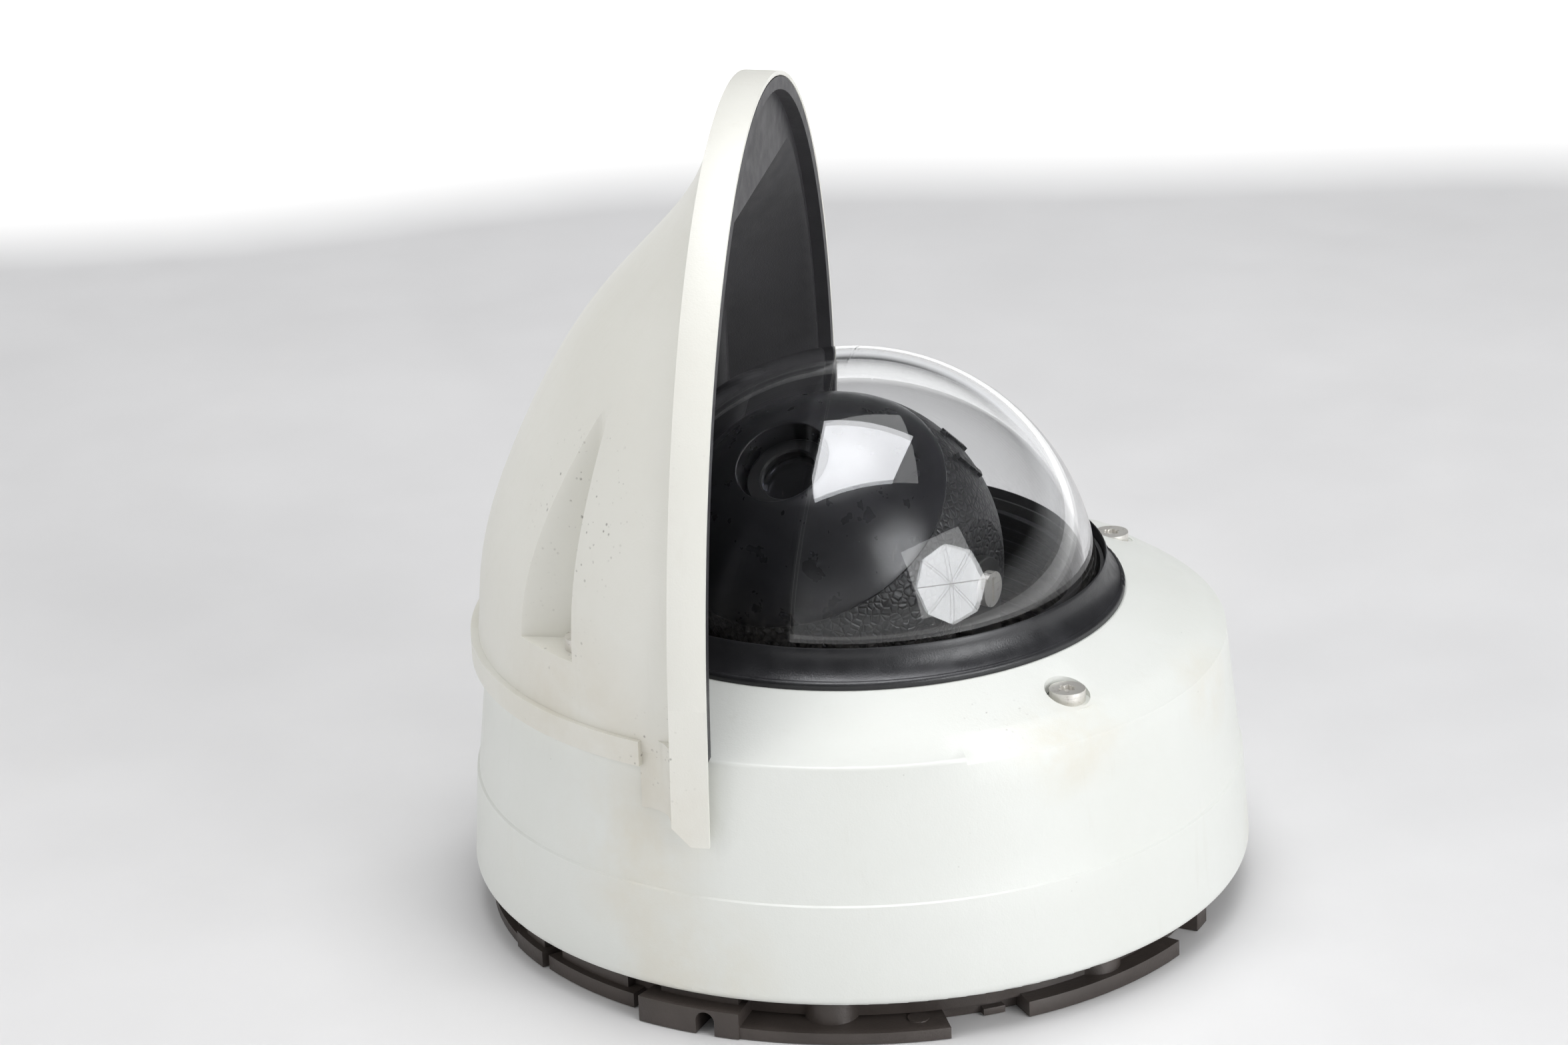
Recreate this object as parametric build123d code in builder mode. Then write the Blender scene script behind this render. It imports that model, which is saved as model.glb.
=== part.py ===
from build123d import *
import os
from math import asin, cos, degrees, radians, sin, sqrt

os.makedirs("parts", exist_ok=True)

# Outdoor dome camera with a bolt-on weathershield, millimetres.
# Origin: centre of the base's bottom face. +Z is the dome side, -Y the front, +Y the shield side.

# ---- cast base --------------------------------------------------------------
BASE_WALL_R = 82.0
BASE_WALL_T = 3.0
BASE_FLOOR_Z = 3.0
BASE_FLOOR_T = 3.0
BASE_FLOOR_TOP = BASE_FLOOR_Z + BASE_FLOOR_T
BASE_TOP_Z = 29.0
FOOT_R = 90.0
FIX_PCD = 120.0
FIX_HOLE_R = 2.6
FIX_COUNT = 4
FIX_ANGLE = 45.0
INLET_R = 11.0
INLET_X = 0.0
INLET_Y = 42.0

# ---- cover casting ----------------------------------------------------------
RIM_R = 90.0
RIM_Z = 11.2
STEP_Z = 31.8
STEP_R = 88.55
STEP_DEPTH = 0.5
SHOULDER_R = 84.5
SHOULDER_Z = 62.6
CONE_SLOPE = 0.363
SEAT_R = 62.2
SEAT_Z = 70.8
COVER_HOLE_R = 58.4
COVER_T = 3.0
LEDGE_R = 80.2
LEDGE_DEPTH = 1.3
LEDGE_START = -155.0
LEDGE_END = -40.0
SCREW_X = 48.2
SCREW_Y = 54.1
SCREW_HEAD_R = 4.0
SCREW_HEAD_H = 2.8
SCREW_SHANK_R = 1.9
SCREW_HOLE_R = 2.2
SCREW_SEAT_Z = 65.0
COUNTERBORE_R = 5.0
BOSS_R = 6.0
GASKET_T = 1.6

# ---- bubble and bezel -------------------------------------------------------
DOME_R = 55.9
DOME_Z = 70.15
DOME_T = 3.0
FLANGE_R = 60.4
FLANGE_Z = 64.2
FLANGE_TOP = 66.8
BEZEL_R = 61.74
BEZEL_TOP_R = 57.9
BEZEL_TOP_Z = 78.9
BEZEL_BORE = 57.3

# ---- weathershield ----------------------------------------------------------
EDGE_Y = 19.07
EDGE_LEAN = 0.015
EDGE_HALF_W = 88.0
EDGE_CENTRE_Z = 76.0
EDGE_RISE = 114.0
EAR_Z = 44.5
BAND_W = 8.2
SHIELD_T = 2.5
LINER_GAP = 0.3
BAND_WALL_T = 3.3
LINER_T = 1.4
RIM_COVER_T = 1.2
HOOD_CUT_Y = 20.0
VOID_CUT_Y = 18.6
HOOD_Z = (63.0, 80.0, 95.0, 110.0, 124.0, 137.0, 148.0, 158.0, 168.0, 178.0, 187.0)
HOOD_REAR = (86.9, 84.9, 81.2, 75.0, 67.9, 59.5, 50.0, 40.5, 33.0, 28.5, 25.8)
HOOD_SIDE = (86.9, 88.6, 89.0, 86.9, 82.9, 78.5, 73.9, 69.6, 64.2, 54.0, 30.0)
LIP_R = 88.2
LIP_BORE = 85.2
LIP_Z = 60.0
LIP_TOP = 65.7
POCKET_X = 57.4
POCKET_Y = 40.5
POCKET_FLOOR_Z = 79.5
POCKET_SCREW_X = 62.6
POCKET_SCREW_Y = 49.6

# ---- camera module ----------------------------------------------------------
PAN_AZIMUTH = 158.4
TILT_ANGLE = 55.0
BALL_OFFSET = 8.0
BALL_Z = 80.0
BALL_R = 38.0
BALL_T = 2.4
BALL_FLAT = 35.0
SEAM = 20.0
ARM_IN = 35.6
ARM_OUT = 38.4
PIVOT_R = 2.0
RUNNING = 0.05
PAN_HUB_R = 30.0
PAN_BASE_Z = 30.0
PAN_PLATE_TOP = 33.0
PAN_HUB_TOP = 39.0
TABLE_Z = 33.05
TABLE_TOP = 38.95
TABLE_R = 45.0
FOOT_SCREW = 40.3
FOOT_REACH = (3.0, 13.0)
BARREL_R = 8.5
BARREL_BORE = 7.3
RING_R = 11.0

# ---- electronics ------------------------------------------------------------
BOARD_Z = 13.0
BOARD_T = 1.6
BOARD_TOP = BOARD_Z + BOARD_T
BOARD_X = 92.0
BOARD_Y = 56.0
STANDOFF_X = 42.0
STANDOFF_Y = 24.0

heading = Vector(cos(radians(PAN_AZIMUTH)), sin(radians(PAN_AZIMUTH)), 0.0)
tilt_axis = Vector(sin(radians(PAN_AZIMUTH)), -cos(radians(PAN_AZIMUTH)), 0.0)
optical_axis = heading * cos(radians(TILT_ANGLE)) + Vector(0.0, 0.0, sin(radians(TILT_ANGLE)))
ball_centre = heading * BALL_OFFSET + Vector(0.0, 0.0, BALL_Z)

lens_line = Axis(ball_centre, optical_axis)


def at_radius(radius, angle):
    return (radius * cos(radians(angle)), radius * sin(radians(angle)))


def lens_plane(distance):
    return Plane(origin=ball_centre + optical_axis * distance, x_dir=tilt_axis, z_dir=optical_axis)


def side_plane(distance):
    return Plane(origin=ball_centre + tilt_axis * distance, x_dir=heading, z_dir=tilt_axis)


def post(x, y, z_low, z_high, radius, mode=Mode.ADD):
    with Locations((x, y, z_low)):
        Cylinder(radius, z_high - z_low, align=(Align.CENTER, Align.CENTER, Align.MIN), mode=mode)


def block(x, y, z_low, size_x, size_y, size_z, mode=Mode.ADD):
    with Locations((x, y, z_low)):
        Box(size_x, size_y, size_z, align=(Align.CENTER, Align.CENTER, Align.MIN), mode=mode)


def washer(r_out, r_in, z_low, z_high, mode=Mode.ADD):
    with BuildSketch(Plane.XY.offset(z_low)) as ring:
        Circle(r_out)
        Circle(r_in, mode=Mode.SUBTRACT)
    extrude(ring.sketch, amount=z_high - z_low, mode=mode)


def sector(a_start, a_end, r_in, r_out, z_low, z_high, mode=Mode.ADD):
    with BuildSketch(Plane.XY.offset(z_low)) as piece:
        with BuildLine():
            inner = CenterArc((0, 0), r_in, a_start, a_end - a_start)
            outer = CenterArc((0, 0), r_out, a_start, a_end - a_start)
            Line(inner @ 0, outer @ 0)
            Line(inner @ 1, outer @ 1)
        make_face()
    extrude(piece.sketch, amount=z_high - z_low, mode=mode)


def barrel_tube(r_out, r_in, low, high, mode=Mode.ADD):
    with BuildSketch(lens_plane(low)) as ring:
        Circle(r_out)
        if r_in:
            Circle(r_in, mode=Mode.SUBTRACT)
    extrude(ring.sketch, amount=high - low, mode=mode)


def barrel_block(x, y, low, size_x, size_y, depth, mode=Mode.ADD):
    with BuildSketch(lens_plane(low)) as patch:
        with Locations((x, y)):
            Rectangle(size_x, size_y)
    extrude(patch.sketch, amount=depth, mode=mode)


def screw_sites():
    return [(sx * SCREW_X, sy * SCREW_Y) for sx in (-1, 1) for sy in (-1, 1)]


def torx_screw(x, y, seat_z, shank_low, head_r, head_h, shank_r):
    post(x, y, seat_z, seat_z + head_h, head_r)
    post(x, y, shank_low, seat_z + 0.2, shank_r)
    recess_z = seat_z + head_h * 0.35
    for lobe in range(6):
        lx, ly = at_radius(head_r * 0.36, lobe * 60.0)
        post(x + lx, y + ly, recess_z, seat_z + head_h + 1.0, head_r * 0.13, mode=Mode.SUBTRACT)
    post(x, y, recess_z, seat_z + head_h + 1.0, head_r * 0.36, mode=Mode.SUBTRACT)
    post(x, y, recess_z - 0.1, seat_z + head_h * 0.8, head_r * 0.13)


# ---- base casting -----------------------------------------------------------
with BuildPart() as base_casting:
    post(0, 0, BASE_FLOOR_Z, BASE_FLOOR_TOP, BASE_WALL_R)
    washer(BASE_WALL_R, BASE_WALL_R - BASE_WALL_T, BASE_FLOOR_Z, BASE_TOP_Z)
    # Underside: a broken ring of feet, stepped pads, fins and two side-entry arches.
    washer(80.0, 76.0, 0, BASE_FLOOR_Z)
    washer(66.0, 62.0, 0, BASE_FLOOR_Z)
    for side in (0, 1):
        turn = 180.0 if side else 0.0
        flip = -1.0 if side else 1.0
        arcs = (
            (156.0, 171.5, 79.0, 90.5, 0.0, 6.0),
            (158.0, 170.5, 79.0, 86.0, 6.0, 9.0),
            (171.0, 201.0, 78.0, FOOT_R, 0.0, 2.6),
            (207.5, 211.0, 79.0, 82.0, 0.0, 1.6),
            (213.5, 243.5, 78.0, 86.6, 0.0, 3.6),
            (252.0, 256.0, 80.0, 84.6, 0.0, 6.0),
            (134.0, 153.0, 79.0, 86.2, 0.0, 3.4),
            (136.0, 151.0, 79.0, 84.4, 3.4, 7.4),
            (124.5, 133.0, 79.0, 87.0, 0.0, 3.8),
            (126.0, 132.0, 79.0, 85.4, 3.8, 8.0),
            (98.0, 125.0, 83.6, 86.4, 0.0, 2.2),
        )
        for a_start, a_end, r_in, r_out, z_low, z_high in arcs:
            low = turn + flip * a_start
            high = turn + flip * a_end
            sector(min(low, high), max(low, high), r_in, r_out, z_low, z_high)
        for rib in range(8):
            middle = turn + flip * (99.0 + rib * 3.6)
            sector(middle - 0.5, middle + 0.5, 79.0, 84.6, 0.0, 8.6)
        for angle, radius in ((184.0, 80.0), (229.0, 79.0), (197.0, 84.0)):
            bx, by = at_radius(radius, turn + flip * angle)
            post(bx, by, 0.0, 8.6 if radius < 82.0 else 2.9, 6.0 if radius < 82.0 else 2.4)
        arch = turn + flip * 166.5
        with Locations(Location((0, 0, 0), (0, 0, arch))):
            with Locations((85.0, 0, 1.0)):
                Box(16.0, 4.4, 4.6, mode=Mode.SUBTRACT)
            with Locations(Location((85.0, 0, 3.2), (0, 90, 0))):
                Cylinder(2.2, 16.0, mode=Mode.SUBTRACT)
    # Pillars for the cover screws, the pan bearing and the circuit board.
    for sx, sy in screw_sites():
        post(sx, sy, BASE_FLOOR_TOP, BASE_TOP_Z + GASKET_T, BOSS_R)
        post(sx, sy, 12.0, BASE_TOP_Z + GASKET_T, SCREW_HOLE_R, mode=Mode.SUBTRACT)
    for leg in range(3):
        px, py = at_radius(40.0, 90.0 + leg * 120.0)
        post(px, py, BASE_FLOOR_TOP, PAN_BASE_Z, 4.0)
        post(px, py, 16.0, PAN_BASE_Z, 1.5, mode=Mode.SUBTRACT)
    # Fixing holes, the cable inlet and the collar round it.
    for hole in range(FIX_COUNT):
        hx, hy = at_radius(FIX_PCD / 2.0, FIX_ANGLE + hole * 90.0)
        post(hx, hy, 0.0, BASE_FLOOR_TOP, 5.2)
        post(hx, hy, 0.0, BASE_FLOOR_TOP, FIX_HOLE_R, mode=Mode.SUBTRACT)
    post(INLET_X, -INLET_Y, 0.0, BASE_FLOOR_TOP, INLET_R + 3.0)
    post(INLET_X, -INLET_Y, 0.0, BASE_FLOOR_TOP, INLET_R, mode=Mode.SUBTRACT)

with BuildPart() as inlet_grommet:
    # Rubber plug in the floor, with the hole the cable passes through.
    post(INLET_X, -INLET_Y, 0.4, BASE_FLOOR_TOP + 2.0, INLET_R - 0.3)
    post(INLET_X, -INLET_Y, BASE_FLOOR_TOP, BASE_FLOOR_TOP + 2.0, INLET_R + 1.8)
    post(INLET_X, -INLET_Y, BASE_FLOOR_TOP + 2.0, BASE_FLOOR_TOP + 5.0, 6.0)
    post(INLET_X, -INLET_Y, 0.0, BASE_FLOOR_TOP + 6.0, 3.0, mode=Mode.SUBTRACT)

with BuildPart() as cover_gasket:
    washer(BASE_WALL_R - 0.3, BASE_WALL_R - BASE_WALL_T + 0.3, BASE_TOP_Z, BASE_TOP_Z + GASKET_T)

# ---- cover casting ----------------------------------------------------------
cone_inner_z = SEAT_Z - COVER_T
ledge_z = SEAT_Z - (LEDGE_R - SEAT_R) * CONE_SLOPE

with BuildPart() as cover_casing:
    with BuildSketch(Plane.XZ):
        with BuildLine():
            Polyline((86.9, 10.2), (86.7, 9.0), (88.2, 8.7))
            ThreePointArc((88.2, 8.7), (89.55, 9.6), (RIM_R, RIM_Z))
            Polyline(
                (RIM_R, RIM_Z),
                (STEP_R, STEP_Z),
                (STEP_R - STEP_DEPTH, STEP_Z + 0.3),
                (SHOULDER_R + 0.2, SHOULDER_Z - 0.8),
            )
            ThreePointArc(
                (SHOULDER_R + 0.2, SHOULDER_Z - 0.8),
                (SHOULDER_R, SHOULDER_Z - 0.15),
                (SHOULDER_R - 0.6, SHOULDER_Z + 0.2),
            )
            Polyline(
                (SHOULDER_R - 0.6, SHOULDER_Z + 0.2),
                (SEAT_R, SEAT_Z),
                (COVER_HOLE_R, SEAT_Z),
                (COVER_HOLE_R, cone_inner_z),
                (SEAT_R, cone_inner_z),
                (81.6, 60.3),
                (85.2, STEP_Z),
                (86.9, 10.2),
            )
        make_face()
    revolve(axis=Axis.Z)
    # Inner flange that presses on the seal, and the screw bosses.
    washer(86.5, 78.6, BASE_TOP_Z + GASKET_T, BASE_TOP_Z + GASKET_T + 2.4)
    for sx, sy in screw_sites():
        post(sx, sy, BASE_TOP_Z + GASKET_T, SCREW_SEAT_Z, BOSS_R)
        post(sx, sy, SCREW_SEAT_Z, SEAT_Z, COUNTERBORE_R, mode=Mode.SUBTRACT)
        post(sx, sy, BASE_TOP_Z, SEAT_Z, SCREW_HOLE_R, mode=Mode.SUBTRACT)
    for sx in (-1, 1):
        post(sx * POCKET_SCREW_X, POCKET_SCREW_Y, 50.0, 62.0, 3.6)
        post(sx * POCKET_SCREW_X, POCKET_SCREW_Y, 52.0, SEAT_Z, SCREW_HOLE_R, mode=Mode.SUBTRACT)
    for hole in range(6):
        hx, hy = at_radius(62.8, 30.0 + hole * 60.0)
        post(hx, hy, cone_inner_z - 1.0, cone_inner_z + 1.7, 1.2, mode=Mode.SUBTRACT)
    # Shallow ledge along the front of the shoulder.
    with BuildSketch(Plane.XZ.rotated((0, 0, LEDGE_START))) as ledge:
        with BuildLine():
            Polyline(
                (LEDGE_R, ledge_z + 0.05),
                (LEDGE_R + 1.3, ledge_z - LEDGE_DEPTH - 0.45),
                (RIM_R, ledge_z - LEDGE_DEPTH - 3.6),
                (RIM_R, SEAT_Z),
                (LEDGE_R, SEAT_Z),
                close=True,
            )
        make_face()
    revolve(ledge.sketch, axis=Axis.Z, revolution_arc=LEDGE_END - LEDGE_START, mode=Mode.SUBTRACT)

with BuildPart() as cover_screws:
    for sx, sy in screw_sites():
        torx_screw(sx, sy, SCREW_SEAT_Z, 14.0, SCREW_HEAD_R, SCREW_HEAD_H, SCREW_SHANK_R)

# ---- bubble, bezel, seals ---------------------------------------------------
with BuildPart() as bezel_ring:
    with BuildSketch(Plane.XZ):
        with BuildLine():
            Polyline(
                (BEZEL_BORE, 68.0),
                (COVER_HOLE_R - 0.4, 68.0),
                (COVER_HOLE_R - 0.4, SEAT_Z),
                (BEZEL_R, SEAT_Z),
                (BEZEL_R + 0.1, SEAT_Z + 0.9),
            )
            ThreePointArc(
                (BEZEL_R + 0.1, SEAT_Z + 0.9),
                (BEZEL_R - 0.3, SEAT_Z + 1.6),
                (BEZEL_R - 1.0, SEAT_Z + 1.8),
            )
            ThreePointArc(
                (BEZEL_R - 1.0, SEAT_Z + 1.8),
                (BEZEL_R - 2.7, SEAT_Z + 3.6),
                (BEZEL_TOP_R, BEZEL_TOP_Z - 0.6),
            )
            Polyline(
                (BEZEL_TOP_R, BEZEL_TOP_Z - 0.6),
                (BEZEL_TOP_R - 0.3, BEZEL_TOP_Z),
                (BEZEL_BORE, BEZEL_TOP_Z),
                (BEZEL_BORE, 68.0),
            )
        make_face()
    revolve(axis=Axis.Z)

with BuildPart() as dome_gasket:
    washer(FLANGE_R + 0.2, DOME_R + 0.3, FLANGE_TOP, FLANGE_TOP + 1.0)
    washer(BEZEL_BORE - 0.3, DOME_R + 0.3, FLANGE_TOP + 1.0, 76.4)

dome_in = DOME_R - DOME_T
with BuildPart() as dome_bubble:
    with BuildSketch(Plane.XZ):
        with BuildLine():
            ThreePointArc(
                (0, DOME_Z + DOME_R),
                (DOME_R * sin(radians(45)), DOME_Z + DOME_R * cos(radians(45))),
                (DOME_R, DOME_Z),
            )
            Polyline(
                (DOME_R, DOME_Z),
                (DOME_R, FLANGE_TOP),
                (FLANGE_R, FLANGE_TOP),
                (FLANGE_R, FLANGE_Z),
                (dome_in, FLANGE_Z),
                (dome_in, DOME_Z),
            )
            ThreePointArc(
                (dome_in, DOME_Z),
                (dome_in * sin(radians(45)), DOME_Z + dome_in * cos(radians(45))),
                (0, DOME_Z + dome_in),
            )
            Line((0, DOME_Z + dome_in), (0, DOME_Z + DOME_R))
        make_face()
    revolve(axis=Axis.Z)

with BuildPart() as dome_retainer:
    washer(65.0, dome_in + 0.3, FLANGE_Z - 2.6, FLANGE_Z)
    washer(65.0, FLANGE_R + 0.4, FLANGE_Z, 66.4)
    for hole in range(6):
        hx, hy = at_radius(62.8, 30.0 + hole * 60.0)
        post(hx, hy, FLANGE_Z, 66.4, 1.9)
        post(hx, hy, FLANGE_Z - 3.0, cone_inner_z + 1.0, 1.2, mode=Mode.SUBTRACT)
    washer(62.0, FLANGE_R - 1.0, FLANGE_Z, FLANGE_TOP, mode=Mode.SUBTRACT)

with BuildPart() as retainer_screws:
    for hole in range(6):
        hx, hy = at_radius(62.8, 30.0 + hole * 60.0)
        post(hx, hy, FLANGE_Z - 4.2, FLANGE_Z - 2.6, 2.0)
        post(hx, hy, FLANGE_Z - 2.7, cone_inner_z + 1.4, 0.9)

with BuildPart() as inner_shroud:
    # Black cup that hides the mechanism below the bubble, ridged on its inside.
    washer(51.8, 49.8, 44.0, 75.0)
    washer(59.0, 50.5, 60.0, FLANGE_Z - 2.6)
    for ridge in range(9):
        washer(50.6, 49.6, 46.0 + ridge * 3.2, 47.6 + ridge * 3.2, mode=Mode.SUBTRACT)
    for foot in range(3):
        fx, fy = at_radius(56.0, 60.0 + foot * 120.0)
        post(fx, fy, 60.0, FLANGE_Z - 2.6, 1.3, mode=Mode.SUBTRACT)

# ---- weathershield ----------------------------------------------------------
edge_plane = Plane(origin=(0, EDGE_Y, 0), x_dir=(1, 0, 0), z_dir=(0, -1, -EDGE_LEAN))


def edge_outline(inset, depth_start, depth_end, mode=Mode.ADD):
    half = EDGE_HALF_W - inset
    rise = EDGE_RISE - inset
    with BuildSketch(edge_plane.offset(-depth_start)) as arch:
        with BuildLine():
            EllipticalCenterArc((0, EDGE_CENTRE_Z), half, rise, 0, arc_size=180)
            Polyline(
                (-half, EDGE_CENTRE_Z),
                (-half, EAR_Z),
                (half, EAR_Z),
                (half, EDGE_CENTRE_Z),
            )
        make_face()
    extrude(arch.sketch, amount=-(depth_end - depth_start), mode=mode)


def hood_section(z, side, rear, cut_y):
    start = degrees(asin(cut_y / rear))
    with BuildSketch(Plane.XY.offset(z)) as section:
        with BuildLine():
            arc = EllipticalCenterArc((0, 0), side, rear, start, arc_size=180.0 - 2.0 * start)
            Line(arc @ 0, arc @ 1)
        make_face()
    return section.sketch


def hood_volume(inset, levels):
    sections = []
    for level in range(levels):
        z = HOOD_Z[level] - (0.7 * inset if level else 6.0 if inset else 0.0)
        rear = HOOD_REAR[level] - inset
        cut_y = VOID_CUT_Y if inset else HOOD_CUT_Y
        sections.append(hood_section(z, HOOD_SIDE[level] - inset, rear, cut_y))
    return loft(sections)


def pocket_prism(grow, floor_z):
    with BuildSketch(Plane.XY.offset(floor_z)) as corner:
        with BuildLine():
            Polyline(
                (POCKET_X - grow, POCKET_Y - grow * 1.6),
                (POCKET_X + 36.0, POCKET_Y + 25.2 - grow * 1.6),
                (POCKET_X + 36.0, 84.0),
                (POCKET_X - grow, 84.0),
                close=True,
            )
        make_face()
        fillet(corner.vertices().sort_by(Axis.Y)[0], 2.4 + grow)
    return extrude(corner.sketch, amount=100.0)


with BuildPart() as casing_space:
    # The space the cover takes up, 0.3 mm larger all round.
    with BuildSketch(Plane.XZ):
        with BuildLine():
            Polyline(
                (0, 0),
                (91.0, 0),
                (91.0, 12.0),
                (STEP_R + 0.4, STEP_Z),
                (SHOULDER_R + 0.5, SHOULDER_Z - 0.2),
                (SHOULDER_R - 0.4, SHOULDER_Z + 0.5),
                (SEAT_R, SEAT_Z + 0.35),
                (0, SEAT_Z + 0.35),
                close=True,
            )
        make_face()
    revolve(axis=Axis.Z)

with BuildPart() as hood_outer:
    add(hood_volume(0.0, len(HOOD_Z)))

with BuildPart() as pocket_cut:
    add(pocket_prism(0.0, POCKET_FLOOR_Z))
    mirror(about=Plane.YZ)

with BuildPart() as pocket_skin:
    add(pocket_prism(SHIELD_T, POCKET_FLOOR_Z - SHIELD_T))
    mirror(about=Plane.YZ)

with BuildPart() as pocket_liner_out:
    add(pocket_prism(SHIELD_T + LINER_GAP, POCKET_FLOOR_Z - SHIELD_T - LINER_GAP))
    mirror(about=Plane.YZ)

liner_in = SHIELD_T + LINER_GAP + LINER_T
with BuildPart() as pocket_liner_in:
    add(pocket_prism(liner_in, POCKET_FLOOR_Z - liner_in))
    mirror(about=Plane.YZ)

with BuildPart() as hood_void:
    add(hood_volume(SHIELD_T, 9))
    add(pocket_skin.part, mode=Mode.SUBTRACT)

rim_depth = BAND_W - BAND_WALL_T
with BuildPart() as front_band:
    edge_outline(0.0, 0.0, BAND_W)
    edge_outline(SHIELD_T, -2.0, rim_depth, mode=Mode.SUBTRACT)
    add(hood_void.part, mode=Mode.SUBTRACT)

with BuildPart() as liner_outer:
    add(hood_volume(SHIELD_T + LINER_GAP, 9))
    add(pocket_liner_out.part, mode=Mode.SUBTRACT)
    edge_outline(SHIELD_T + LINER_GAP, 0.0, rim_depth - LINER_GAP)

with BuildPart() as liner_void:
    add(hood_volume(liner_in, 9))
    add(pocket_liner_in.part, mode=Mode.SUBTRACT)
    edge_outline(liner_in, -2.0, rim_depth - LINER_GAP - LINER_T)

with BuildPart() as weathershield_shell:
    add(hood_outer.part)
    add(pocket_cut.part, mode=Mode.SUBTRACT)
    # Bottom lip over the shoulder and the webs behind the two ears.
    sector(23.0, 157.0, LIP_BORE - 2.0, LIP_R, LIP_Z, LIP_TOP)
    for sx in (-1, 1):
        with BuildSketch(Plane.XY.offset(EAR_Z + 2.0)) as web:
            with BuildLine():
                Polyline(
                    (sx * 79.6, 34.5),
                    (sx * 70.0, 34.5),
                    (sx * 70.0, 20.0),
                    (sx * 87.2, 20.0),
                    (sx * 87.0, 26.5),
                )
                ThreePointArc((sx * 87.0, 26.5), (sx * 82.4, 29.4), (sx * 79.6, 34.5))
            make_face()
        extrude(web.sketch, amount=20.0)
    add(hood_void.part, mode=Mode.SUBTRACT)
    edge_outline(SHIELD_T, -2.0, rim_depth, mode=Mode.SUBTRACT)
    add(front_band.part)
    for sx in (-1, 1):
        post(sx * POCKET_SCREW_X, POCKET_SCREW_Y, 60.0, POCKET_FLOOR_Z - 1.0, 4.5)
    add(casing_space.part, mode=Mode.SUBTRACT)
    # Rebate for the liner's rim along the front edge, and the screw holes.
    edge_outline(1.0, -1.0, RIM_COVER_T + 0.1, mode=Mode.SUBTRACT)
    for sx in (-1, 1):
        post(sx * POCKET_SCREW_X, POCKET_SCREW_Y, 60.0, 90.0, SCREW_HOLE_R, mode=Mode.SUBTRACT)
    # Sloping cut across the bottom rear corner of each ear.
    with BuildSketch(Plane.YZ.offset(-100.0)) as ear_cut:
        with BuildLine():
            Polyline((21.5, EAR_Z - 1.0), (40.0, EAR_Z - 1.0), (40.0, 50.0), (27.6, 50.0), close=True)
        make_face()
    extrude(ear_cut.sketch, amount=200.0, mode=Mode.SUBTRACT)

with BuildPart() as weathershield_liner:
    add(liner_outer.part)
    edge_outline(1.3, 0.0, RIM_COVER_T)
    add(liner_void.part, mode=Mode.SUBTRACT)
    add(casing_space.part, mode=Mode.SUBTRACT)
    post(0, 0, 0.0, 64.0, 120.0, mode=Mode.SUBTRACT)
    for sx in (-1, 1):
        post(sx * POCKET_SCREW_X, POCKET_SCREW_Y, 60.0, POCKET_FLOOR_Z, 4.9, mode=Mode.SUBTRACT)
    for sx, sy in screw_sites():
        post(sx, sy, 60.0, 68.5, SCREW_HEAD_R + 0.6, mode=Mode.SUBTRACT)

with BuildPart() as weathershield_screws:
    for sx in (-1, 1):
        screw_x = sx * POCKET_SCREW_X
        torx_screw(
            screw_x, POCKET_SCREW_Y, POCKET_FLOOR_Z, 54.0, SCREW_HEAD_R, SCREW_HEAD_H, SCREW_SHANK_R
        )

# ---- electronics ------------------------------------------------------------
with BuildPart() as board_standoffs:
    for sx in (-1, 1):
        for sy in (-1, 1):
            post(sx * STANDOFF_X, sy * STANDOFF_Y, BASE_FLOOR_TOP, BOARD_Z, 2.6)
            post(sx * STANDOFF_X, sy * STANDOFF_Y, 8.0, BOARD_Z, 1.3, mode=Mode.SUBTRACT)

with BuildPart() as main_board:
    block(0, 0, BOARD_Z, BOARD_X, BOARD_Y, BOARD_T)
    for sx in (-1, 1):
        for sy in (-1, 1):
            post(sx * STANDOFF_X, sy * STANDOFF_Y, BOARD_Z, BOARD_TOP, 1.5, mode=Mode.SUBTRACT)
    for leg in range(3):
        px, py = at_radius(40.0, 90.0 + leg * 120.0)
        post(px, py, BOARD_Z, BOARD_TOP, 4.8, mode=Mode.SUBTRACT)

with BuildPart() as board_screws:
    for sx in (-1, 1):
        for sy in (-1, 1):
            post(sx * STANDOFF_X, sy * STANDOFF_Y, BOARD_TOP, BOARD_TOP + 1.6, 2.4)
            post(sx * STANDOFF_X, sy * STANDOFF_Y, 9.0, BOARD_TOP + 0.1, 1.0)

with BuildPart() as processor_chip:
    block(-8.0, 4.0, BOARD_TOP, 17.0, 17.0, 1.6)

with BuildPart() as heat_sink:
    block(-8.0, 4.0, BOARD_TOP + 1.6, 24.0, 24.0, 1.6)
    for fin in range(8):
        block(-18.8 + fin * 3.0857, 4.0, BOARD_TOP + 3.2, 1.2, 24.0, 7.0)

with BuildPart() as network_jack:
    block(22.0, -19.0, BOARD_TOP, 16.0, 18.0, 13.2)
    block(22.0, -24.0, BOARD_TOP + 2.4, 11.8, 9.0, 8.0, mode=Mode.SUBTRACT)
    for pin in range(8):
        block(18.4 + pin * 1.02, -22.6, BOARD_TOP + 9.6, 0.4, 4.0, 0.6)

with BuildPart() as terminal_block:
    block(-12.0, -22.0, BOARD_TOP, 20.0, 9.0, 8.0)
    for way in range(4):
        block(-19.0 + way * 4.667, -25.5, BOARD_TOP + 1.4, 3.0, 3.0, 3.4, mode=Mode.SUBTRACT)
        post(-19.0 + way * 4.667, -21.0, BOARD_TOP + 6.0, BOARD_TOP + 8.0, 1.6, mode=Mode.SUBTRACT)

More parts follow.
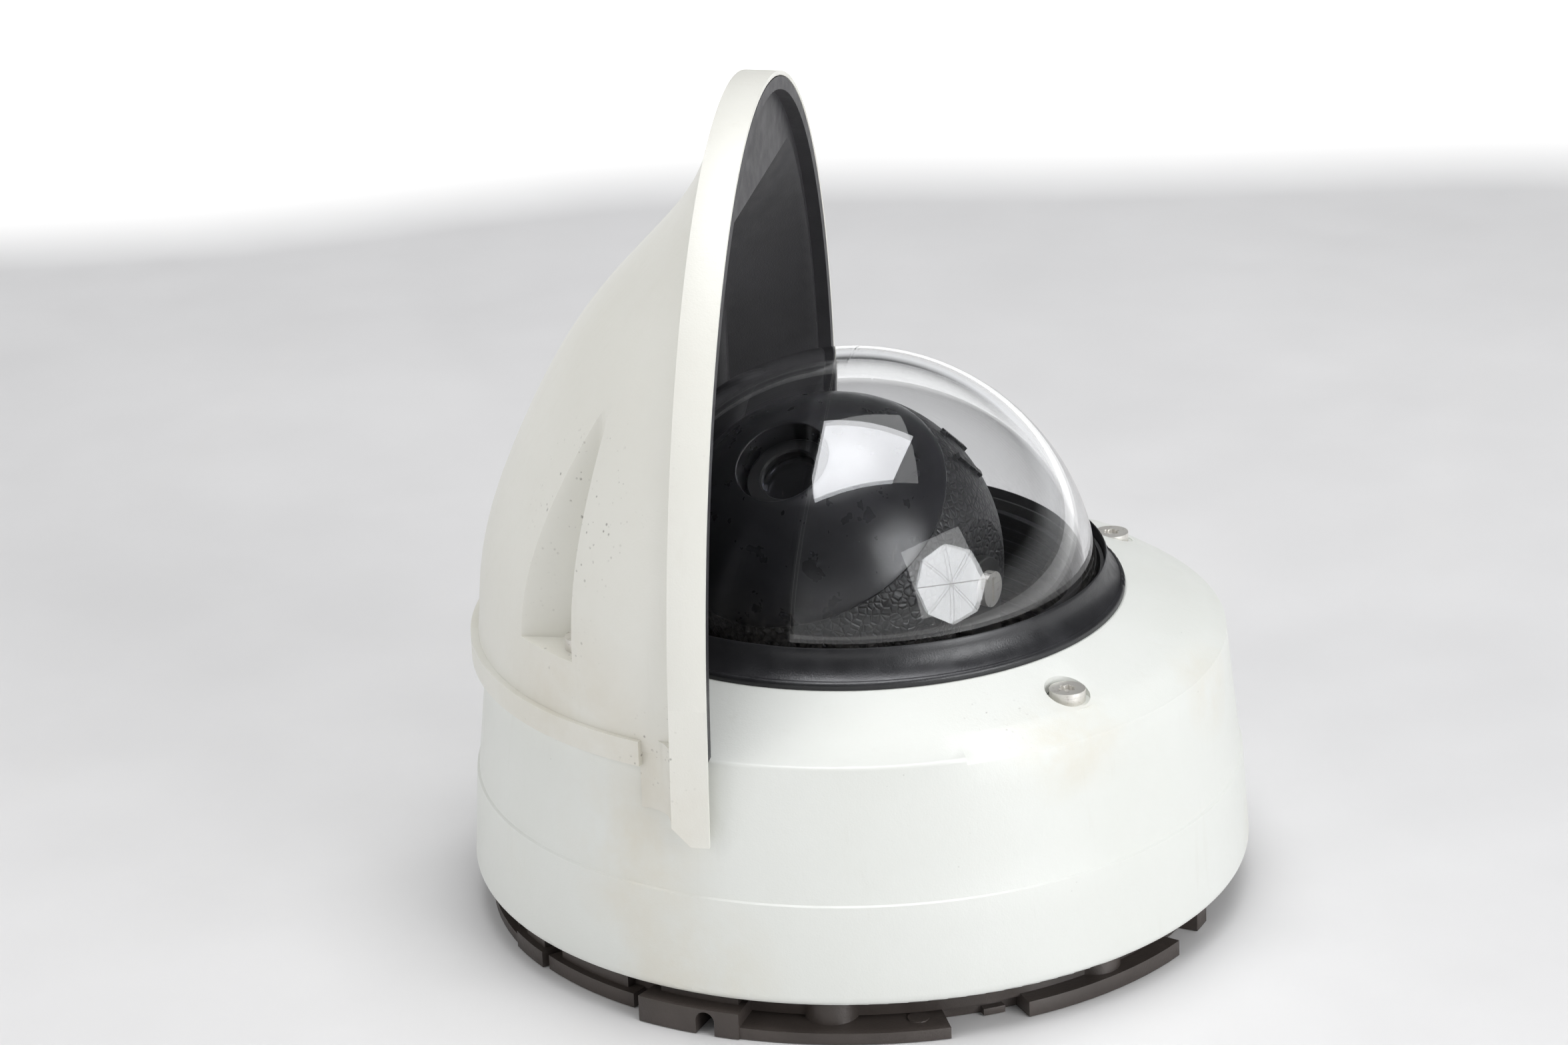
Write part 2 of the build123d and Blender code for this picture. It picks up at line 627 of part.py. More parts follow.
with BuildPart() as card_slot:
    block(20.0, 19.0, BOARD_TOP, 15.0, 17.0, 2.6)
    block(20.0, 20.5, BOARD_TOP + 0.8, 11.4, 16.0, 1.2, mode=Mode.SUBTRACT)

with BuildPart() as memory_card:
    block(20.0, 20.8, BOARD_TOP + 0.95, 11.0, 15.0, 0.9)

with BuildPart() as switch_body:
    block(36.0, 10.0, BOARD_TOP, 6.0, 6.0, 3.6)
    post(36.0, 10.0, BOARD_TOP + 1.6, BOARD_TOP + 3.6, 1.8, mode=Mode.SUBTRACT)

with BuildPart() as control_button:
    post(36.0, 10.0, BOARD_TOP + 2.4, BOARD_TOP + 6.0, 1.75)

with BuildPart() as status_led:
    block(36.0, 0.0, BOARD_TOP, 3.2, 2.8, 1.0)
    post(36.0, 0.0, BOARD_TOP + 1.0, BOARD_TOP + 1.8, 1.1)

# ---- pan bearing and turntable ----------------------------------------------
with BuildPart() as pan_base:
    washer(46.0, PAN_HUB_R - 4.0, PAN_BASE_Z, PAN_PLATE_TOP)
    washer(PAN_HUB_R, PAN_HUB_R - 4.0, PAN_PLATE_TOP, PAN_HUB_TOP)
    for leg in range(3):
        px, py = at_radius(40.0, 90.0 + leg * 120.0)
        post(px, py, PAN_BASE_Z, PAN_PLATE_TOP, 1.5, mode=Mode.SUBTRACT)
        post(px, py, PAN_PLATE_TOP - 1.8, PAN_PLATE_TOP, 3.0, mode=Mode.SUBTRACT)

with BuildPart() as pan_base_screws:
    for leg in range(3):
        px, py = at_radius(40.0, 90.0 + leg * 120.0)
        post(px, py, PAN_PLATE_TOP - 1.8, PAN_PLATE_TOP - 0.3, 2.6)
        post(px, py, 18.0, PAN_PLATE_TOP - 1.7, 1.2)

with BuildPart() as pan_retainer:
    washer(PAN_HUB_R + 3.0, PAN_HUB_R - 4.0, PAN_HUB_TOP, PAN_HUB_TOP + 1.4)
    for notch in range(3):
        nx, ny = at_radius(PAN_HUB_R - 4.0, notch * 120.0)
        post(nx, ny, PAN_HUB_TOP, PAN_HUB_TOP + 1.4, 2.0, mode=Mode.SUBTRACT)

table_spot = heading * -37.5
with BuildPart() as pan_turntable:
    washer(TABLE_R, PAN_HUB_R + RUNNING, TABLE_Z, TABLE_TOP)
    for notch in range(36):
        nx, ny = at_radius(TABLE_R + 0.7, notch * 10.0)
        post(nx, ny, TABLE_Z, TABLE_TOP, 1.3, mode=Mode.SUBTRACT)
    post(table_spot.X, table_spot.Y, TABLE_Z, TABLE_TOP, 1.5 + RUNNING, mode=Mode.SUBTRACT)
    for sx in (-1, 1):
        for along in FOOT_REACH:
            spot = heading * along + tilt_axis * (sx * FOOT_SCREW)
            post(spot.X, spot.Y, TABLE_TOP - 4.0, TABLE_TOP, 1.2, mode=Mode.SUBTRACT)

with BuildPart() as pan_lock_screw:
    # Knurled thumb screw that locks the turntable.
    post(table_spot.X, table_spot.Y, TABLE_TOP + 0.1, TABLE_TOP + 5.0, 4.2)
    for knurl in range(18):
        kx, ky = at_radius(4.4, knurl * 20.0)
        post(table_spot.X + kx, table_spot.Y + ky, TABLE_TOP + 0.1, TABLE_TOP + 5.0, 0.4, mode=Mode.SUBTRACT)
    post(table_spot.X, table_spot.Y, TABLE_Z + 0.1, TABLE_TOP + 0.2, 1.5)
    block(table_spot.X, table_spot.Y, TABLE_TOP + 4.0, 0.9, 5.6, 1.0, mode=Mode.SUBTRACT)

with BuildPart() as yoke_arms:
    for sx in (-1, 1):
        with BuildSketch(side_plane(sx * ARM_IN)) as arm:
            Circle(7.0)
            with Locations((0, -(BALL_Z - TABLE_TOP) * 0.5)):
                Rectangle(14.0, BALL_Z - TABLE_TOP)
            Circle(PIVOT_R + 0.2, mode=Mode.SUBTRACT)
            with Locations((0, -26.0)):
                Circle(3.0, mode=Mode.SUBTRACT)
        extrude(arm.sketch, amount=sx * (ARM_OUT - ARM_IN))
        with BuildSketch(side_plane(sx * ARM_IN)) as foot:
            with Locations((0, -(BALL_Z - TABLE_TOP) + 1.4)):
                Rectangle(15.0, 2.8)
        extrude(foot.sketch, amount=sx * 6.6)
        for along in FOOT_REACH:
            spot = heading * along + tilt_axis * (sx * FOOT_SCREW)
            post(spot.X, spot.Y, TABLE_TOP, TABLE_TOP + 3.0, 1.2, mode=Mode.SUBTRACT)

with BuildPart() as yoke_screws:
    for sx in (-1, 1):
        for along in FOOT_REACH:
            spot = heading * along + tilt_axis * (sx * FOOT_SCREW)
            post(spot.X, spot.Y, TABLE_TOP + 2.8, TABLE_TOP + 4.2, 1.7)
            post(spot.X, spot.Y, TABLE_TOP - 3.6, TABLE_TOP + 2.9, 0.9)

with BuildPart() as tilt_pins:
    # Shoulder screws through the yoke arms, the tilt bearing's shafts.
    for sx in (-1, 1):
        with BuildSketch(side_plane(sx * ARM_OUT)) as head:
            Circle(4.0)
        extrude(head.sketch, amount=sx * 1.8)
        with BuildSketch(side_plane(sx * 28.6)) as shaft:
            Circle(PIVOT_R)
        extrude(shaft.sketch, amount=sx * (ARM_OUT - 28.6 + 0.2))
        with BuildSketch(side_plane(sx * (ARM_OUT + 1.0))) as slot:
            Rectangle(1.0, 5.6)
        extrude(slot.sketch, amount=sx * 1.0, mode=Mode.SUBTRACT)

# ---- ball -------------------------------------------------------------------
ball_in = BALL_R - BALL_T
ball_section = Plane(origin=ball_centre, x_dir=tilt_axis, z_dir=tilt_axis.cross(optical_axis))


def reach(radius, height):
    return sqrt(radius * radius - height * height)


def ball_pads():
    for sx in (-1, 1):
        with BuildSketch(side_plane(sx * (BALL_FLAT - 2.6))) as pad:
            Circle(14.75)
        extrude(pad.sketch, amount=sx * 2.6)


def trim_flats():
    for sx in (-1, 1):
        with BuildSketch(side_plane(sx * BALL_FLAT)) as flat:
            Circle(30.0)
        extrude(flat.sketch, amount=sx * 12.0, mode=Mode.SUBTRACT)


with BuildPart() as ball_rear_shell:
    with BuildSketch(ball_section) as rear_wall:
        with BuildLine():
            ThreePointArc((0, -BALL_R), (reach(BALL_R, -9.0), -9.0), (reach(BALL_R, SEAM), SEAM))
            Line((reach(BALL_R, SEAM), SEAM), (reach(ball_in, SEAM), SEAM))
            ThreePointArc(
                (reach(ball_in, SEAM), SEAM), (reach(ball_in, 10.0), 10.0), (reach(ball_in, -1.0), -1.0)
            )
            Polyline((reach(ball_in, -1.0), -1.0), (12.0, -1.0), (12.0, -4.0), (reach(ball_in, -4.0), -4.0))
            ThreePointArc((reach(ball_in, -4.0), -4.0), (reach(ball_in, -20.0), -20.0), (0, -ball_in))
            Line((0, -ball_in), (0, -BALL_R))
        make_face()
    revolve(rear_wall.sketch, axis=lens_line)
    ball_pads()
    for sx in (-1, 1):
        with BuildSketch(side_plane(sx * 28.0)) as hub:
            Circle(4.6)
        extrude(hub.sketch, amount=sx * (BALL_FLAT - 28.0))
    # Raised grip ribs on the shoulder of the shell.
    for polar, spin in ((68.0, 40.0), (75.0, 27.0), (70.0, 54.0), (72.0, 140.0), (72.0, 126.0)):
        around = tilt_axis * cos(radians(spin)) - lens_plane(0.0).y_dir * sin(radians(spin))
        normal = optical_axis * cos(radians(polar)) + around * sin(radians(polar))
        along = around * cos(radians(polar)) - optical_axis * sin(radians(polar))
        with Locations(Plane(origin=ball_centre + normal * 37.6, x_dir=along, z_dir=normal).location):
            Box(9.0, 1.5, 2.0)
    trim_flats()
    for sx in (-1, 1):
        with BuildSketch(side_plane(sx * 27.0)) as bore:
            Circle(PIVOT_R + RUNNING)
        extrude(bore.sketch, amount=sx * 9.0, mode=Mode.SUBTRACT)

with BuildPart() as ball_front_cap:
    with BuildSketch(ball_section) as cap_wall:
        with BuildLine():
            ThreePointArc(
                (reach(BALL_R, SEAM), SEAM), (reach(BALL_R, 30.0), 30.0), (10.4, reach(BALL_R, 10.4))
            )
            Polyline(
                (10.4, reach(BALL_R, 10.4)), (10.4, 30.5), (12.2, 30.5), (12.2, reach(ball_in, 12.2))
            )
            ThreePointArc(
                (12.2, reach(ball_in, 12.2)), (reach(ball_in, 28.0), 28.0), (reach(ball_in, SEAM), SEAM)
            )
            Line((reach(ball_in, SEAM), SEAM), (reach(BALL_R, SEAM), SEAM))
        make_face()
    revolve(cap_wall.sketch, axis=lens_line)
    ball_pads()
    barrel_tube(50.0, 0, -50.0, SEAM, mode=Mode.SUBTRACT)
    trim_flats()

# ---- lens and sensor, turning together inside the ball ----------------------
with BuildPart() as roll_carrier:
    barrel_tube(14.0, 9.0, -0.95, 1.0)
    barrel_tube(12.0 - RUNNING, 9.0, -4.1, -0.9)
    barrel_tube(11.0, 9.0, -6.4, -4.0)

with BuildPart() as roll_clip:
    barrel_tube(14.0, 11.3, -5.5, -4.1)

with BuildPart() as lens_mount:
    barrel_block(0, 0, -14.4, 23.0, 23.0, 8.0)
    barrel_tube(8.6, 0, -14.4, -6.4, mode=Mode.SUBTRACT)
    for sx in (-1, 1):
        with BuildSketch(lens_plane(-14.4)) as tap:
            with Locations((sx * 9.3, sx * 9.3)):
                Circle(1.1)
        extrude(tap.sketch, amount=6.0, mode=Mode.SUBTRACT)

with BuildPart() as sensor_board:
    barrel_block(0, 0, -16.0, 26.0, 26.0, 1.6)
    for sx in (-1, 1):
        with BuildSketch(lens_plane(-16.0)) as tap:
            with Locations((sx * 9.3, sx * 9.3)):
                Circle(1.1)
        extrude(tap.sketch, amount=1.6, mode=Mode.SUBTRACT)

with BuildPart() as sensor_screws:
    for sx in (-1, 1):
        with BuildSketch(lens_plane(-17.4)) as head:
            with Locations((sx * 9.3, sx * 9.3)):
                Circle(1.7)
        extrude(head.sketch, amount=1.4)
        with BuildSketch(lens_plane(-16.1)) as shank:
            with Locations((sx * 9.3, sx * 9.3)):
                Circle(0.8)
        extrude(shank.sketch, amount=6.6)

with BuildPart() as image_sensor:
    barrel_block(0, 0, -14.4, 12.0, 10.0, 1.4)

with BuildPart() as lens_barrel:
    barrel_tube(BARREL_R, BARREL_BORE, -6.0, 31.0)
    barrel_tube(12.5, BARREL_BORE, 1.0, 2.6)
    barrel_tube(10.2, BARREL_BORE, 9.3, 11.7)
    barrel_tube(10.2, BARREL_BORE, 17.3, 18.6)
    barrel_tube(8.0, 6.0, 26.4, 27.4)
    barrel_tube(9.8, BARREL_BORE, 28.0, 31.0)


def control_ring(low, high):
    with BuildSketch(lens_plane(low)) as ring:
        Circle(RING_R)
        Circle(BARREL_R + RUNNING, mode=Mode.SUBTRACT)
        with PolarLocations(RING_R + 0.15, 30):
            Circle(0.42, mode=Mode.SUBTRACT)
    extrude(ring.sketch, amount=high - low)
    barrel_block(0, -(RING_R + 1.4), low + 1.5, 1.8, 4.0, 1.8)


with BuildPart() as focus_ring:
    control_ring(4.0, 9.0)

with BuildPart() as zoom_ring:
    control_ring(12.0, 17.0)

CELL_R = BARREL_BORE - RUNNING
with BuildPart() as focus_cell:
    barrel_tube(CELL_R, 5.4, 2.0, 5.4)
    barrel_tube(CELL_R, 4.4, 1.4, 2.0)

with BuildPart() as focus_glass:
    barrel_tube(5.1, 0, 2.0, 4.4)

with BuildPart() as zoom_cell:
    barrel_tube(CELL_R, 5.4, 12.6, 16.4)
    barrel_tube(CELL_R, 4.4, 12.0, 12.6)

with BuildPart() as zoom_glass:
    barrel_tube(5.1, 0, 12.6, 15.0)

with BuildPart() as front_lens:
    barrel_tube(7.0, 0, 27.4, 30.6)
    fillet(front_lens.faces().sort_by(lens_line)[-1].edges(), 1.2)

with BuildPart() as lens_front_ring:
    barrel_tube(9.8, 6.4, 31.0, 32.2)
    chamfer(lens_front_ring.faces().sort_by(lens_line)[-1].edges(), 0.4)

nodes = {
    "base_casting": base_casting,
    "inlet_grommet": inlet_grommet,
    "cover_gasket": cover_gasket,
    "cover_casing": cover_casing,
    "cover_screws": cover_screws,
    "bezel_ring": bezel_ring,
    "dome_gasket": dome_gasket,
    "dome_bubble": dome_bubble,
    "dome_retainer": dome_retainer,
    "retainer_screws": retainer_screws,
    "inner_shroud": inner_shroud,
    "weathershield_shell": weathershield_shell,
    "weathershield_liner": weathershield_liner,
    "weathershield_screws": weathershield_screws,
    "board_standoffs": board_standoffs,
    "main_board": main_board,
    "board_screws": board_screws,
    "processor_chip": processor_chip,
    "heat_sink": heat_sink,
    "network_jack": network_jack,
    "terminal_block": terminal_block,
    "card_slot": card_slot,
    "memory_card": memory_card,
    "switch_body": switch_body,
    "control_button": control_button,
    "status_led": status_led,
    "pan_base": pan_base,
    "pan_base_screws": pan_base_screws,
    "pan_retainer": pan_retainer,
    "pan_turntable": pan_turntable,
    "pan_lock_screw": pan_lock_screw,
    "yoke_arms": yoke_arms,
    "yoke_screws": yoke_screws,
    "tilt_pins": tilt_pins,
    "ball_rear_shell": ball_rear_shell,
    "ball_front_cap": ball_front_cap,
    "roll_carrier": roll_carrier,
    "roll_clip": roll_clip,
    "lens_mount": lens_mount,
    "sensor_board": sensor_board,
    "sensor_screws": sensor_screws,
    "image_sensor": image_sensor,
    "lens_barrel": lens_barrel,
    "focus_ring": focus_ring,
    "zoom_ring": zoom_ring,
    "focus_cell": focus_cell,
    "focus_glass": focus_glass,
    "zoom_cell": zoom_cell,
    "zoom_glass": zoom_glass,
    "front_lens": front_lens,
    "lens_front_ring": lens_front_ring,
}
for name, node in nodes.items():
    node.part.label = name
    export_step(node.part, f"parts/{name}.step")
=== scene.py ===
import math

import bpy
from mathutils import Matrix, Vector

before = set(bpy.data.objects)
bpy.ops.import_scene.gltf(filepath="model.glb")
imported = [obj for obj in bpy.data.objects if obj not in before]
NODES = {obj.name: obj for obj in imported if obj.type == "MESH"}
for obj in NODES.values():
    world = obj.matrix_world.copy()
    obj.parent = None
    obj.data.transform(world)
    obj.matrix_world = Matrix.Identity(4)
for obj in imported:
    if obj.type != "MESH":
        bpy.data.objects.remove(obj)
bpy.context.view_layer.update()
scene = bpy.context.scene

MM = 0.001

# ---- camera: a long lens, looking down at the part's right-hand side --------
VIEW_TURN = math.radians(-79.6)
CAMERA_PLACE = (-0.9220, -0.1533, 0.4363)
CAMERA_TILT = math.radians(20.49)
CAMERA_ROLL = -0.0353
LENS_MM = 100.58
SENSOR_MM = 36.0
CLIP_NEAR, CLIP_FAR = 0.01, 50.0

# ---- room: how bright it looks depends on the kind of ray that meets it ------
ROOM_COLOUR = (0.97, 0.985, 1.0, 1.0)
AMBIENT = 0.42
WHITE_WALL = 1.1
DARK_ROOM = 0.05
WALL_TOP, CEILING_START = 0.08, 0.22

# ---- floor sheet: a rippled, rounded square with a fading edge ---------------
SHEET_POINTS = 240
SHEET_REACH = 0.61
SHEET_SQUARENESS = 4
SHEET_RIPPLES = ((0.030, 5.0, 0.6), (0.016, 11.0, 2.0))
SHEET_Z = -0.0002
FADE_STARTS = 0.88
BACKDROP_REACH = 9.0
BACKDROP_Z = -0.004
BACKDROP_GLOW = 0.75

# ---- lights ------------------------------------------------------------------
AIM = (0.0, 0.0, 0.08)
NEUTRAL = (1.0, 1.0, 1.0)
# name: place, side, power, colour
AREA_LIGHTS = {
    "key_right": ((-0.70, -1.05, 0.55), 0.8, 7.6, NEUTRAL),
    "top_soft": ((0.05, -0.10, 1.45), 1.0, 9.6, NEUTRAL),
    "fill_left": ((-0.80, 1.10, 0.70), 0.8, 3.6, (1.0, 0.975, 0.94)),
}
LAMP_GLOW, RIB_GLOW = 9.0, 3.5
UMBRELLA_WAY = (-0.512, -0.815, 0.271)
UMBRELLA_FROM = (-0.0438, -0.0289, 0.0895)
UMBRELLA_FAR = 1.25
UMBRELLA_RADIUS = 0.40
UMBRELLA_DEPTH = 0.04
UMBRELLA_SIDES = 8
UMBRELLA_FIRST = 11.0
RIB_TIP_DROP, RIB_HUB_DROP, RIB_HALF = 0.01, 0.05, 0.0045
SOFTBOX_Z = 1.35
# Where each corner's reflection lies on the dome, and the way it leaves.
SOFTBOX_CORNERS = (
    ((-0.0257, 0.0036, 0.1197), (0.278, 0.253, 0.927)),
    ((-0.0252, -0.0182, 0.1166), (0.264, -0.343, 0.901)),
    ((-0.0358, -0.0152, 0.1103), (-0.199, -0.333, 0.922)),
    ((-0.0417, 0.0016, 0.1073), (-0.441, 0.215, 0.871)),
)

# ---- softened edges ----------------------------------------------------------
WELD_REACH = 0.000004
BEVEL_STEPS = 3
BEVEL_ANGLE = math.radians(38.0)
BEVEL_MM = {
    "cover_casing": 0.7,
    "base_casting": 0.5,
    "weathershield_shell": 1.3,
    "weathershield_liner": 0.25,
    "bezel_ring": 0.4,
    "ball_rear_shell": 0.3,
    "ball_front_cap": 0.4,
    "cover_screws": 0.25,
    "weathershield_screws": 0.25,
    "yoke_arms": 0.3,
    "inner_shroud": 0.2,
    "pan_turntable": 0.3,
}

# ---- finishes ----------------------------------------------------------------
# slot: colour, roughness, texture scale, texture height, dust
MOULDED = {
    "cast_dark": ((0.055, 0.045, 0.040), 0.42, 1500.0, 0.00012, 0.35),
    "rubber_black": ((0.014, 0.014, 0.014), 0.70, 900.0, 0.00008, 0.5),
    "liner_black": ((0.022, 0.021, 0.024), 0.5, 2400.0, 0.00008, 0.5),
    "bezel_black": ((0.016, 0.016, 0.018), 0.36, 2600.0, 0.00007, 0.45),
    "black_plastic": ((0.016, 0.016, 0.016), 0.45, 1800.0, 0.00006, 0.2),
    "shroud_black": ((0.011, 0.011, 0.013), 0.50, 1600.0, 0.00006, 0.2),
    "cap_black": ((0.013, 0.013, 0.015), 0.30, 1400.0, 0.00003, 0.0),
    "knob_black": ((0.02, 0.02, 0.02), 0.5, 1800.0, 0.00008, 0.2),
    "board_green": ((0.01, 0.09, 0.035), 0.3, 300.0, 0.00004, 0.1),
    "chip_black": ((0.02, 0.02, 0.02), 0.55, 2400.0, 0.00004, 0.0),
    "terminal_green": ((0.03, 0.26, 0.09), 0.4, 900.0, 0.00004, 0.0),
    "button_grey": ((0.30, 0.30, 0.31), 0.45, 900.0, 0.00004, 0.0),
    "led_clear": ((0.62, 0.68, 0.58), 0.2, 500.0, 0.00002, 0.0),
    "sensor_face": ((0.03, 0.04, 0.09), 0.12, 300.0, 0.00001, 0.0),
    "lens_black": ((0.012, 0.012, 0.012), 0.35, 1800.0, 0.00004, 0.0),
    "ring_black": ((0.02, 0.02, 0.02), 0.45, 1800.0, 0.00006, 0.0),
}
# slot: colour, roughness, metallic
METALS = {
    "stainless": ((0.74, 0.72, 0.68), 0.26, 0.6),
    "heatsink_metal": ((0.55, 0.56, 0.58), 0.35, 1.0),
    "jack_metal": ((0.62, 0.62, 0.60), 0.25, 1.0),
    "brass": ((0.68, 0.50, 0.22), 0.25, 1.0),
}
# slot: clean, aged and stain colours, speck strength, roughness, then tanned and
# dirty spots, each as x, y, z and reach in millimetres
WHITES = {
    "white_cast": (
        (0.80, 0.815, 0.785),
        (0.77, 0.785, 0.745),
        (0.68, 0.58, 0.40),
        0.55,
        0.42,
        (
            (-58.0, -60.0, 64.0, 16.0),
            (-66.0, -52.0, 61.0, 14.0),
            (-20.0, -84.0, 58.0, 14.0),
            (-76.0, 36.0, 40.0, 24.0),
            (-80.0, 20.0, 14.0, 22.0),
        ),
        ((-62.0, -40.0, 63.0, 12.0),),
    ),
    "white_plastic": (
        (0.79, 0.785, 0.735),
        (0.75, 0.74, 0.68),
        (0.62, 0.55, 0.42),
        0.8,
        0.46,
        ((-80.0, 30.0, 50.0, 20.0), (-70.0, 52.0, 64.0, 30.0)),
        (
            (-66.0, 50.0, 112.0, 26.0),
            (-64.0, 50.0, 84.0, 16.0),
            (-84.0, 30.0, 63.0, 14.0),
            (66.0, 50.0, 112.0, 26.0),
            (-87.0, 20.0, 130.0, 12.0),
        ),
    ),
}
SPECK_COLOUR = (0.10, 0.085, 0.07)
STREAK_COLOUR = (0.50, 0.45, 0.36)
DUST_COLOUR = (0.34, 0.31, 0.27)
GRIME_COLOUR = (0.22, 0.18, 0.14)
BRUSHED = (30.0, 30.0, 4000.0)
GLASS_TINT = (0.42, 0.43, 0.50)
# The share of a spot's reach over which it keeps its full strength.
SPOT_CORE = 0.35


def place_camera():
    data = bpy.data.cameras.new("camera")
    data.lens = LENS_MM
    data.sensor_width = SENSOR_MM
    data.clip_start = CLIP_NEAR
    data.clip_end = CLIP_FAR
    cam = bpy.data.objects.new("camera", data)
    scene.collection.objects.link(cam)
    back = Vector((0.0, -math.cos(CAMERA_TILT), math.sin(CAMERA_TILT)))
    level = Vector((1.0, 0.0, 0.0))
    upright = back.cross(level)
    right = level * math.cos(CAMERA_ROLL) + upright * math.sin(CAMERA_ROLL)
    up = upright * math.cos(CAMERA_ROLL) - level * math.sin(CAMERA_ROLL)
    turn = Matrix.Rotation(VIEW_TURN, 3, "Z")
    axes = Matrix((turn @ right, turn @ up, turn @ back)).transposed()
    cam.matrix_world = Matrix.Translation(CAMERA_PLACE) @ axes.to_4x4()
    scene.camera = cam


# ---- material building -------------------------------------------------------
class Nodes:
    """A short way to write node graphs."""

    def __init__(self, name):
        self.mat = bpy.data.materials.new(name)
        self.mat.use_nodes = True
        self.tree = self.mat.node_tree
        self.shader = self.tree.nodes["Principled BSDF"]
        self.coord = self.tree.nodes.new("ShaderNodeTexCoord").outputs["Object"]

    def new(self, kind, **values):
        node = self.tree.nodes.new(kind)
        for key, value in values.items():
            setattr(node, key, value)
        return node

    def link(self, a, b):
        self.tree.links.new(a, b)

    def noise(self, scale, detail=4.0, rough=0.55, coord=None):
        node = self.new("ShaderNodeTexNoise")
        node.inputs["Scale"].default_value = scale
        node.inputs["Detail"].default_value = detail
        node.inputs["Roughness"].default_value = rough
        self.link(coord or self.coord, node.inputs["Vector"])
        return node.outputs["Fac"]

    def stretched(self, scale, detail, rough, rotation=(0.0, 0.0, 0.0)):
        """Noise drawn out by a different scale along each axis."""
        node = self.new("ShaderNodeMapping")
        node.inputs["Scale"].default_value = scale
        node.inputs["Rotation"].default_value = rotation
        self.link(self.coord, node.inputs["Vector"])
        return self.noise(1.0, detail, rough, node.outputs["Vector"])

    def cells(self, scale, feature="F1"):
        node = self.new("ShaderNodeTexVoronoi", feature=feature)
        node.inputs["Scale"].default_value = scale
        self.link(self.coord, node.inputs["Vector"])
        return node.outputs["Distance"]

    def dots(self, scale, size):
        """One dot in the middle of each cell."""
        return self.ramp(self.cells(scale), 0.0, size, 1.0, 0.0)

    def ramp(self, value, low, high, out_low=0.0, out_high=1.0):
        node = self.new("ShaderNodeMapRange")
        node.clamp = True
        keys = ("From Min", "From Max", "To Min", "To Max")
        for key, number in zip(keys, (low, high, out_low, out_high)):
            node.inputs[key].default_value = number
        self.link(value, node.inputs["Value"])
        return node.outputs["Result"]

    def math(self, operation, a, b):
        node = self.new("ShaderNodeMath", operation=operation)
        for index, item in enumerate((a, b)):
            if isinstance(item, float):
                node.inputs[index].default_value = item
            else:
                self.link(item, node.inputs[index])
        return node.outputs[0]

    def times(self, a, b):
        return self.math("MULTIPLY", a, b)

    def most(self, a, b):
        return self.math("MAXIMUM", a, b)

    def mix(self, fac, a, b):
        node = self.new("ShaderNodeMix", data_type="RGBA")
        self.link(fac, node.inputs[0])
        for key, item in ((6, a), (7, b)):
            if isinstance(item, tuple):
                node.inputs[key].default_value = (*item, 1.0)
            else:
                self.link(item, node.inputs[key])
        return node.outputs[2]

    def height(self):
        node = self.new("ShaderNodeSeparateXYZ")
        self.link(self.coord, node.inputs[0])
        return node.outputs["Z"]

    def near(self, x, y, z, reach):
        """One at a point given in millimetres, fading to nothing at the given reach."""
        node = self.new("ShaderNodeVectorMath", operation="DISTANCE")
        self.link(self.coord, node.inputs[0])
        node.inputs[1].default_value = (x * MM, y * MM, z * MM)
        return self.ramp(node.outputs["Value"], reach * MM * SPOT_CORE, reach * MM, 1.0, 0.0)

    def bump(self, height, distance, strength, under=None):
        node = self.new("ShaderNodeBump")
        node.inputs["Distance"].default_value = distance
        node.inputs["Strength"].default_value = strength
        self.link(height, node.inputs["Height"])
        if under is not None:
            self.link(under, node.inputs["Normal"])
        return node.outputs["Normal"]

    def set(self, **values):
        """Link or fill sockets of the main shader."""
        for key, value in values.items():
            socket = self.shader.inputs[key.replace("_", " ")]
            if isinstance(value, bpy.types.NodeSocket):
                self.link(value, socket)
            elif isinstance(value, tuple):
                socket.default_value = (*value, 1.0)
            else:
                socket.default_value = value


def painted(slot, clean, aged, stain, specks, rough, tanned, dirty):
    """Thick paint or moulded plastic that has lived outdoors: uneven tone, stains, dirt specks, fine skin."""
    m = Nodes(f"finish_{slot}")
    colour = m.mix(m.ramp(m.noise(14.0, 5.0, 0.6), 0.35, 0.7), clean, aged)
    patches = m.noise(38.0, 6.0, 0.62)
    spread = m.times(m.ramp(patches, 0.56, 0.74), m.ramp(m.noise(9.0, 2.0), 0.5, 0.66))
    colour = m.mix(m.times(spread, 0.18), colour, stain)
    for spot in tanned:
        blur = m.times(m.near(*spot), m.ramp(patches, 0.34, 0.62))
        colour = m.mix(m.times(blur, 0.32), colour, stain)
    dots = m.dots(420.0, 0.105)
    where = m.ramp(m.noise(55.0, 3.0, 0.7), 0.64, 0.72)
    crumbs = m.ramp(m.cells(620.0), 0.12, 0.26, 1.0, 0.0)
    crumbs = m.times(crumbs, m.ramp(m.noise(330.0, 3.0), 0.47, 0.55))
    for spot in dirty:
        here = m.times(m.near(*spot), m.ramp(m.noise(160.0, 3.0, 0.7), 0.42, 0.52))
        where = m.most(where, here)
        dots = m.most(dots, m.times(crumbs, here))
    colour = m.mix(m.times(m.times(dots, where), specks), colour, SPECK_COLOUR)
    streak = m.stretched((150.0, 150.0, 14.0), 4.0, 0.65)
    colour = m.mix(m.ramp(streak, 0.62, 0.8, 0.0, 0.10), colour, STREAK_COLOUR)
    scuff = m.stretched((900.0, 60.0, 300.0), 2.0, 0.4, (0.4, 0.9, 0.2))
    fine = m.bump(m.noise(2600.0, 2.0, 0.5), 0.00006, 0.5)
    m.set(
        Base_Color=colour,
        Roughness=m.ramp(scuff, 0.55, 0.75, rough, rough + 0.14),
        IOR=1.48,
        Normal=m.bump(m.noise(520.0, 2.0, 0.5), 0.00012, 0.35, fine),
    )
    return m.mat


